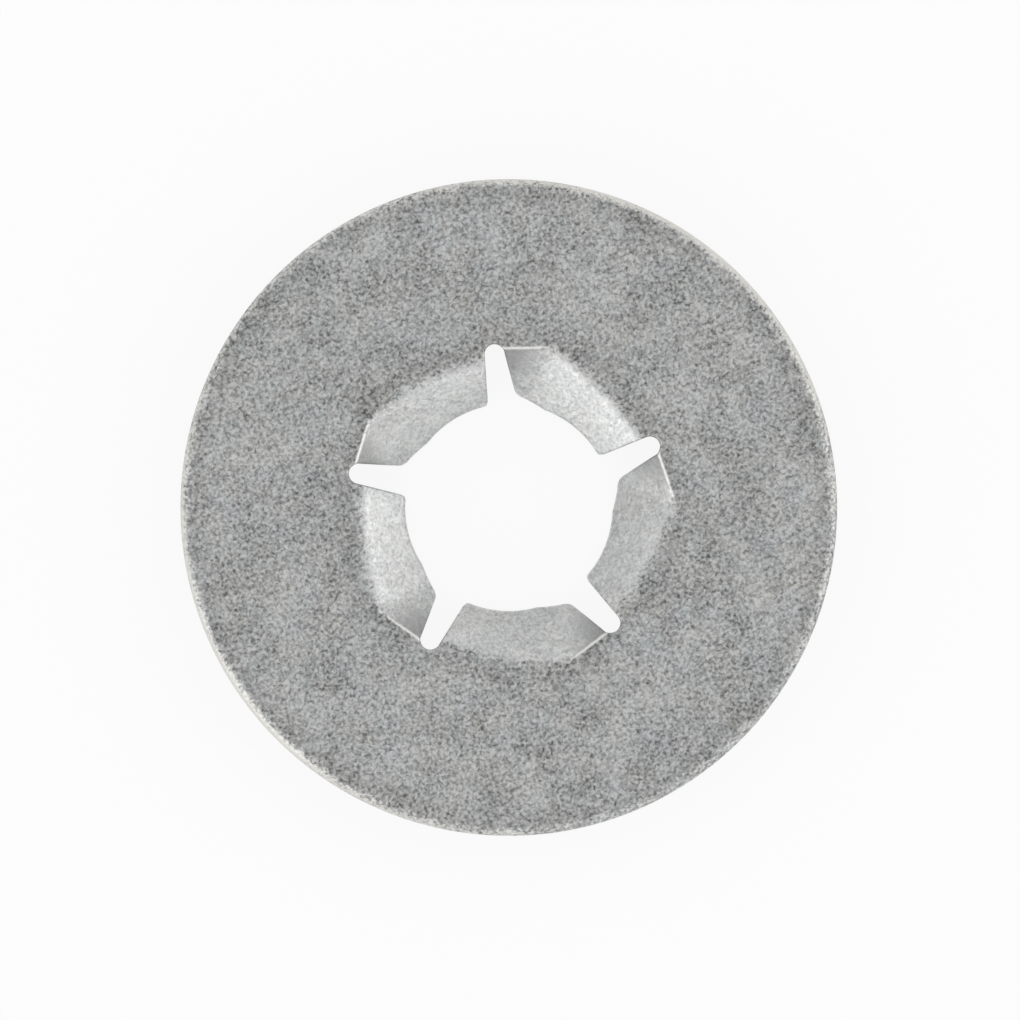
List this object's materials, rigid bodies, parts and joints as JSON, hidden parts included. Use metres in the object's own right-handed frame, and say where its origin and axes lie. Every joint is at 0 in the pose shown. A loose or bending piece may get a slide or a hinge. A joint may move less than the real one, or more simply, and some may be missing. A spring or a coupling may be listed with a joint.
{
  "type": "push-on nut",
  "caption": "Round stamped push-on nut: a flat zinc-plated spring steel disc with slotted, skew-bent teeth around its hole that grip a plain stud when pressed on.",
  "frame": {"origin": "on the stud axis, at the level of the tooth tips on which the nut rests", "axes": "+Z along the stud axis towards the flat face of the ring, +X through the middle of a slot"},
  "size_m": [0.0142, 0.0142, 0.0015],
  "materials": {
    "zinc_plated_steel": "zinc plated spring steel with a fine grey grain"
  },
  "bodies": {
    "root": {"push_nut": "zinc_plated_steel"}
  },
  "joints": []
}
